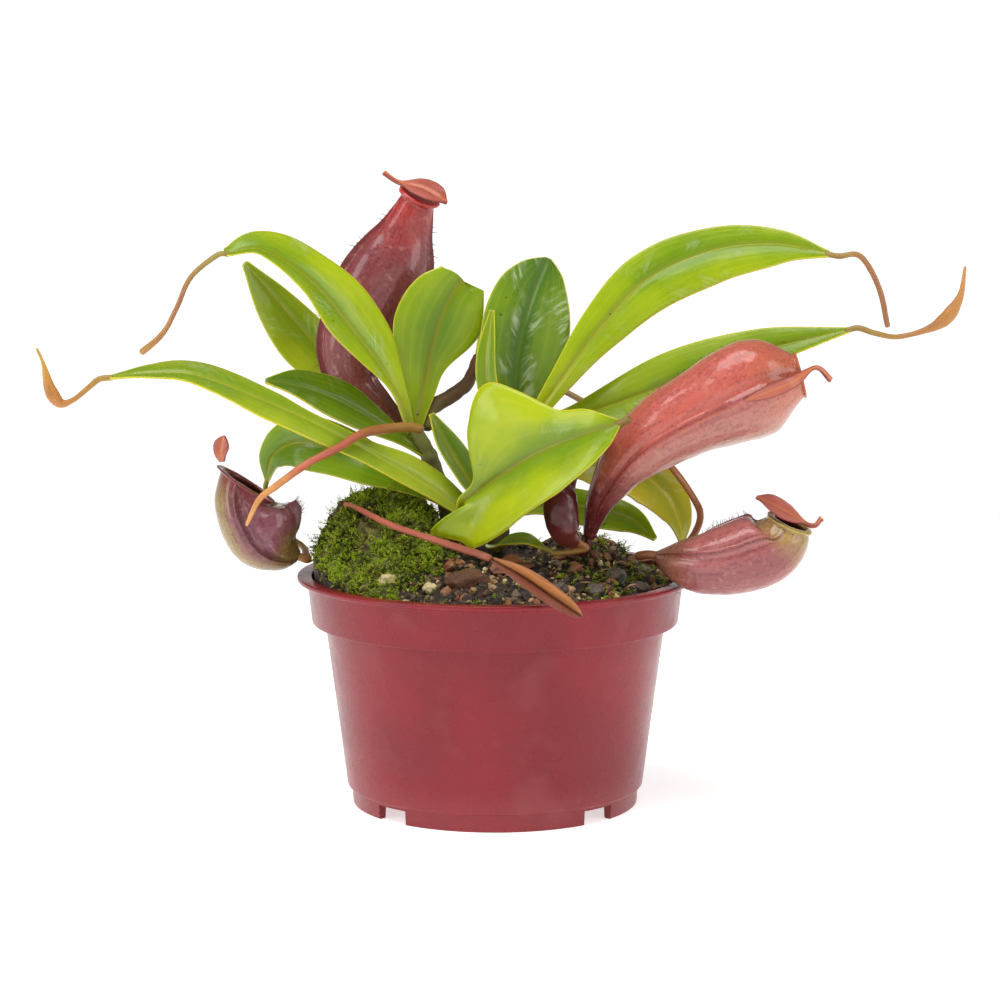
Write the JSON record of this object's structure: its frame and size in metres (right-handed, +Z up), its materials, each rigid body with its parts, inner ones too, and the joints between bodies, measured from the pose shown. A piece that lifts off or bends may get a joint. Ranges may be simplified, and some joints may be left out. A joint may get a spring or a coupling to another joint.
{
  "type": "potted pitcher plant",
  "caption": "Carnivorous pitcher plant with arching leaves, tendrils and hanging hollow pitchers, growing from mossy soil in a round tapered plastic nursery pot.",
  "frame": {"origin": "under the middle of the whole plant, seen from above, on the plane that the pot's foot ring stands on", "axes": "+Z up along the pot's axis; -Y is the plant's front and +X its right as seen from the front"},
  "size_m": [0.2886, 0.1318, 0.2013],
  "materials": {
    "pot": "terracotta red moulded plastic, half gloss",
    "soil": "dark crumbly potting mix, matte",
    "moss": "short moss, matte",
    "stem": "brown green bark, matte",
    "leaf": "bright yellow green, soft gloss, paler margins and ribs",
    "leaf_olive": "olive green, soft gloss",
    "tendril": "green brown, satin",
    "tendril_red": "red brown, satin",
    "pitcher": "mottled maroon and orange red, soft gloss",
    "pitcher_young": "dark maroon, gloss",
    "dry_husk": "dried out, orange brown, matte",
    "perlite": "cream, matte",
    "bark": "dark brown, matte",
    "stone": "grey, matte"
  },
  "bodies": {
    "root": {"pot": "pot", "soil": "soil", "moss": "moss", "stem_main": "stem", "stem_side": "stem", "leaf_upper_left": "leaf", "leaf_rear_left": "leaf", "leaf_short_left": "leaf", "leaf_long_left": "leaf", "leaf_low_left": "leaf", "leaf_notched": "leaf", "leaf_upright": "leaf", "leaf_upright_young": "leaf", "leaf_front": "leaf", "leaf_upper_right": "leaf", "leaf_long_right": "leaf", "leaf_low_rear": "leaf", "leaf_rear": "leaf", "leaf_strap": "leaf", "leaf_basal": "leaf", "leaf_low_right": "leaf_olive", "stalk_old": "stem", "tendril_bare": "tendril", "tendril_upper_left": "tendril", "tendril_long_left": "tendril", "tendril_front": "tendril", "tendril_upper_right": "tendril", "tendril_long_right": "tendril", "tendril_low_left": "tendril", "tendril_rear": "tendril", "tendril_young": "tendril", "tendril_dry": "tendril_red", "pitcher_top": "pitcher", "pitcher_right": "pitcher", "pitcher_left": "pitcher", "pitcher_low_right": "pitcher", "lid_top": "pitcher", "lid_right": "pitcher", "lid_left": "pitcher", "lid_low_right": "pitcher", "pitcher_young": "pitcher_young", "pitcher_dry": "dry_husk", "dead_leaf": "dry_husk", "perlite_large": "perlite", "perlite_small": "perlite", "bark_chunk": "bark", "stone_1": "stone", "stone_2": "stone", "stone_3": "stone", "stone_4": "stone"}
  },
  "joints": []
}
